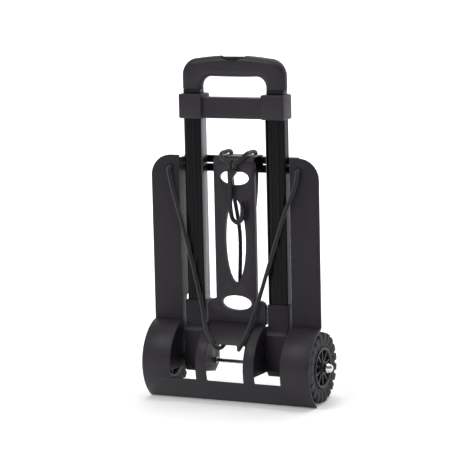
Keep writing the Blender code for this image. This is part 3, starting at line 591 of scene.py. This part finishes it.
def make_guard():
    # Rolled sheet moulding; slots for the masts and a window are cut through it.
    r_out, r_in = GUARD_R, GUARD_R - SHEET
    low = -math.asin((AZ - 0.0003) / r_out)
    top = math.atan2(0.112 - AZ, 0.015)
    steps = 72
    angles = [low + (top - low) * k / steps for k in range(steps + 1)]
    outer = [(AY - r_out * math.cos(a), AZ + r_out * math.sin(a)) for a in angles]
    inner = [(AY - r_in * math.cos(a), AZ + r_in * math.sin(a)) for a in angles]
    obj = prism(outer + inner[::-1], "x", -0.1328, 0.1328, (), "guard")
    for s in (-1, 1):
        u0, u1 = sorted((s * 0.0462, s * 0.0877))
        slot = prism(rounded_rect(u0, 0.0345, u1, 0.13, (0.0015, 0.0015, 0, 0), 4), "y",
                     -0.08, AY + 0.01, (), "slot")
        cut(obj, slot)
    window = prism(rounded_rect(-0.0295, 0.034, 0.0295, 0.087, (0.0015,) * 4, 4), "y",
                   -0.08, AY - 0.01, (), "window")
    cut(obj, window)
    bevel(obj, 0.5, 2, 50)
    finish_piece(obj, "rolled_guard", M_GUARD, "platform", ["wheel_guard"], 30)


def make_wing(side, s):
    y = AY - 0.015
    r = 0.031
    outline = [(s * 0.0877, 0.1124), (s * 0.1328, 0.1124)]
    outline += [(s * (0.1328 - r + r * math.cos(a)), 0.357 - r + r * math.sin(a))
                for a in [math.radians(90 * k / 24) for k in range(25)]]
    outline.append((s * 0.0877, 0.357))
    obj = prism(outline, "y", y, y + SHEET,
                [ellipse(s * EYELET[0], EYELET[1], 0.0048, 0.0048, 32)], "wing")
    u0, u1 = sorted((s * 0.0877, s * 0.0902))
    lip = prism(rounded_rect(y + 0.001, 0.147, AY + 0.0075, 0.353, (0, 0.006, 0.004, 0), 6), "x",
                u0, u1, (), "lip")
    cut(obj, lip, "UNION")
    bevel(obj, 0.5, 2, 50)
    finish_piece(obj, "embossed_wing_" + side, M_DECK, "platform", ["wing_" + side], 30)


def make_cords():
    y = AY - 0.015
    front = y - CORD_R - 0.0015
    back = y + SHEET + CORD_R + 0.001
    run = {"left": [(-0.0800, 0.24707, front), (-0.0546, 0.142, front - 0.0003),
                    (-0.0520, 0.131, front - 0.0012)],
           "right": [(0.0800, 0.27499, front), (0.0570, 0.2070, front),
                     (0.0366, 0.146, front - 0.0003), (0.0330, 0.135, front - 0.0012)]}
    over = {"left": [(-0.0358, 50), (-0.0250, 39), (-0.0178, 31.0)],
            "right": [(0.0285, 57), (0.0275, 42), (0.0245, 31.0)]}
    turn = CORD_R + 0.0018
    for side, s in SIDES:
        ex, ez = s * EYELET[0], EYELET[1]
        path = [(ex, back, ez), (ex, y + 0.0015, ez), (ex, y - 0.001, ez)]
        path += [(ex, y - 0.001 - turn * math.sin(t), ez - turn * (1 - math.cos(t)))
                 for t in [math.radians(a) for a in (30, 60, 90)]]
        path.append((ex - s * 0.0004, path[-1][1] + 0.0001, path[-1][2] - 0.0025))
        path += [(x, yy, z) for x, z, yy in run[side]]
        r = GUARD_R + CORD_R + 0.0015
        path += [(x, AY - r * math.cos(math.radians(t)), AZ + r * math.sin(math.radians(t)))
                 for x, t in over[side]]
        x = over[side][-1][0]
        lip = 0.087 - CORD_R - 0.0012
        lead = AY - GUARD_R
        path += [(x - s * 0.0040, lead + 0.0085, lip - 0.0006),
                 (x - s * 0.0075, lead + 0.0160, lip - 0.0006),
                 (x - s * 0.0110, lead + 0.0225, lip + 0.0060),
                 (x - s * 0.0140, lead + 0.0325, lip + 0.0145)]
        obj = sweep(smooth_path(path), CORD_R, "cord", 4)
        finish_piece(obj, "front_cord_" + side, M_CORD, "platform", ["bungee_" + side], 60)
    hood = RAIL_TOP + GAP + 0.002 + CORD_R + 0.0008
    rear = AY + RAIL_BACK + GAP + 0.002 + CORD_R + 0.0010
    bend = RAIL_TOP + 0.002 - STRIP_TOP
    rr = bend + CORD_R + 0.0012
    turn = CORD_R + 0.0025
    join = (0.0010, y - CORD_R - 0.0030, 0.3405)
    for side, s in SIDES:
        x = -0.0010 + s * 0.0195
        path = [(x * 0.3, AY + 0.012, 0.165), (x * 0.5, rear + 0.001, 0.240),
                (x, rear, 0.317), (x, rear, hood - turn)]
        path += [(x, rear - turn * (1 - math.cos(t)), hood - turn * (1 - math.sin(t)))
                 for t in [math.radians(a) for a in (30, 60, 90)]]
        path += [(x, AY + 0.004, hood + 0.0005),
                 (x - s * 0.0005, y + bend - 0.5 * rr, STRIP_TOP + 0.87 * rr),
                 (x - s * 0.0040, y + bend - 0.87 * rr, STRIP_TOP + 0.5 * rr),
                 (join[0] + s * (CORD_R + 0.0012), join[1] - 0.0006, join[2] + 0.0060),
                 (join[0] + s * (CORD_R + 0.0002), join[1], join[2])]
        obj = sweep(smooth_path(path), CORD_R, "cord", 4)
        finish_piece(obj, "rear_cord_" + side, M_CORD, "platform", ["bungee_back_" + side], 60)


def make_hook():
    # Nylon hook: a flat clamp head that grips both cords, thinning into a bent finger with a ball end.
    y = AY - 0.015 - 0.0064
    x, z = 0.0010, 0.3397
    head = [(x - 0.0058, z), (x + 0.0058, z), (x + 0.0066, z - 0.0020), (x + 0.0060, z - 0.0062),
            (x + 0.0020, z - 0.0105), (x - 0.0006, z - 0.0165), (x - 0.0064, z - 0.0165),
            (x - 0.0066, z - 0.0050)]
    block = prism(head[::-1], "y", y - 0.0037, y + 0.0037, (), "head")
    bevel(block, 1.1, 4, 25)
    finish_piece(block, "hook_clamp_head", M_HOOK, "platform", ["hook_head"], 40)
    x0, z0 = x - 0.0036, z - 0.0168
    path = smooth_path([(x0, y, z0), (x0 - 0.0006, y, z0 - 0.020), (x0, y, z0 - 0.045),
                        (x0 + 0.0035, y, z0 - 0.057), (x0 + 0.0095, y, z0 - 0.0610),
                        (x0 + 0.0160, y, z0 - 0.057),
                        (x0 + 0.0184, y, z0 - 0.046), (x0 + 0.0186, y, z0 - 0.0285)])
    n = len(path)
    radii = [1.0 - 0.14 * math.sin(math.pi * k / n) if k < n - 4 else (0.98, 0.86, 0.66, 0.30)[k - n + 4]
             for k in range(n)]
    obj = sweep(path, 0.0037, "finger", 6, radii)
    finish_piece(obj, "hook_bent_finger", M_HOOK, "platform", ["hook_finger"], 60)


for side, s in SIDES:
    make_tyre(side, s)
    make_rim(side, s)
    make_nut(side, s)
    make_mast(side, s)
    make_stage(side, s, "middle", 0.0244, 0.0154, 0.0740, 0.4503, "middle_stage")
    make_stage(side, s, "inner", 0.0208, 0.0118, 0.0780, 0.4710, "handle")
    make_wing(side, s)
    refined("foot_bracket_" + side, M_FOOT, 0.8, 3)
    refined("hinge_arm_" + side, M_FOOT, 0.35)
    refined("hinge_web_" + side, M_FOOT, 0.35)
    # The grey strip on the tube's inner side stands in for painted reflection.
    refined("mast_strip_" + side, M_GREY_REFLECTION, 0.15, 2)
    refined("middle_collar_" + side, M_RING, 0.5, 3)
    refined("inner_collar_" + side, M_RING, 0.5, 3)
    refined("eyelet_" + side, M_RING, 0.15)
    refined("axle_spacer_" + side, M_FRAME, 0.3)
    refined("bungee_knot_" + side, M_CORD, 0.8, 3)
make_handle()
make_guard()
make_cords()
make_hook()
refined("mast_crossbar", M_FRAME, 0.25, 2)
refined("handle_button", M_BUTTON, 0.9, 4)
refined("centre_strip", M_STRIP, 0.45, 2)
refined("strip_hood", M_STRIP, 0.35, 2)
refined("platform_rail_upper", M_TUBE, 0.0)
refined("platform_rail_lower", M_TUBE, 0.0)

for side, s in SIDES:
    paint(M_STEEL, "wheel_bush_" + side, "hinge_bush_" + side, "web_bush_" + side)
paint(M_STEEL, "axle")


# ---------------------------------------------------------------- set
def make_floor():
    # Seamless pale studio floor that rises behind the cart; its glow is weaker near the cart, a painted
    # shadow round the base.
    bm = bmesh.new()
    rows = [(-6.0, 0.0), (2.2, 0.0), (2.6, 0.03), (2.95, 0.15), (3.2, 0.42), (3.3, 0.8), (3.3, 5.0)]
    left = [bm.verts.new((-6.0, y, z)) for y, z in rows]
    right = [bm.verts.new((6.0, y, z)) for y, z in rows]
    for k in range(len(rows) - 1):
        bm.faces.new((left[k], right[k], right[k + 1], left[k + 1]))
    floor = from_bmesh(bm, "studio_floor")
    for f in floor.data.polygons:
        f.use_smooth = True
    mat, tree, shader, coord = new_material("paper_floor")
    shader.inputs["Base Color"].default_value = lin("FFFFFF")
    shader.inputs["Roughness"].default_value = 0.9
    shader.inputs["Specular IOR Level"].default_value = 0.1
    shader.inputs["Emission Color"].default_value = lin("FFFFFF")
    # Painted shadow: the floor's emission falls from 0.75 far off to 0.16 near the origin, darkening the
    # floor round the cart.
    near = node(tree, "VectorMath", [(0, coord)], p_operation="LENGTH")
    painted_shadow_glow = node(tree, "MapRange", [("Value", near.outputs["Value"])], p_interpolation_type="SMOOTHSTEP",
                From_Min=0.2, From_Max=1.4, To_Min=0.16, To_Max=0.75)
    tree.links.new(painted_shadow_glow.outputs["Result"], shader.inputs["Emission Strength"])
    floor.data.materials.append(mat)


def area_light(name, where, aim, size, size_y, power):
    light = bpy.data.lights.new(name, "AREA")
    light.shape = "RECTANGLE"
    light.size = size
    light.size_y = size_y
    light.energy = power
    obj = bpy.data.objects.new(name, light)
    bpy.context.scene.collection.objects.link(obj)
    obj.location = where
    obj.rotation_euler = (Vector(aim) - Vector(where)).to_track_quat("-Z", "Y").to_euler()
    return obj


def make_lights():
    world = bpy.data.worlds.new("studio")
    bpy.context.scene.world = world
    world.use_nodes = True
    back = world.node_tree.nodes["Background"]
    back.inputs[0].default_value = (1.0, 1.0, 1.0, 1.0)
    back.inputs[1].default_value = 0.24
    area_light("key", (-0.9, -1.6, 2.1), (0, 0, 0.25), 1.2, 1.2, 26)
    area_light("top", (0.1, 0.3, 2.2), (0, 0, 0.2), 1.6, 1.0, 22)


def make_camera():
    cam = bpy.data.cameras.new("camera")
    obj = bpy.data.objects.new("camera", cam)
    bpy.context.scene.collection.objects.link(obj)
    cam.lens = 2163.7 / 460 * 36
    cam.sensor_width = 36
    az, el, roll = math.radians(25.2), math.radians(8.6), math.radians(-1.3)
    back = Vector((math.sin(az) * math.cos(el), -math.cos(az) * math.cos(el), math.sin(el)))
    target = Vector((-0.0147, AY, 0.2471))
    obj.location = target + back * 3.1547
    forward = -back
    right = forward.cross(Vector((0, 0, 1))).normalized()
    up = right.cross(forward)
    r2 = math.cos(roll) * right + math.sin(roll) * up
    u2 = -math.sin(roll) * right + math.cos(roll) * up
    rot = Matrix((r2, u2, back)).transposed()
    obj.rotation_euler = rot.to_euler()
    cam.clip_start, cam.clip_end = 0.05, 60.0
    bpy.context.scene.camera = obj


make_floor()
make_lights()
make_camera()
bpy.context.scene.view_settings.view_transform = "Standard"
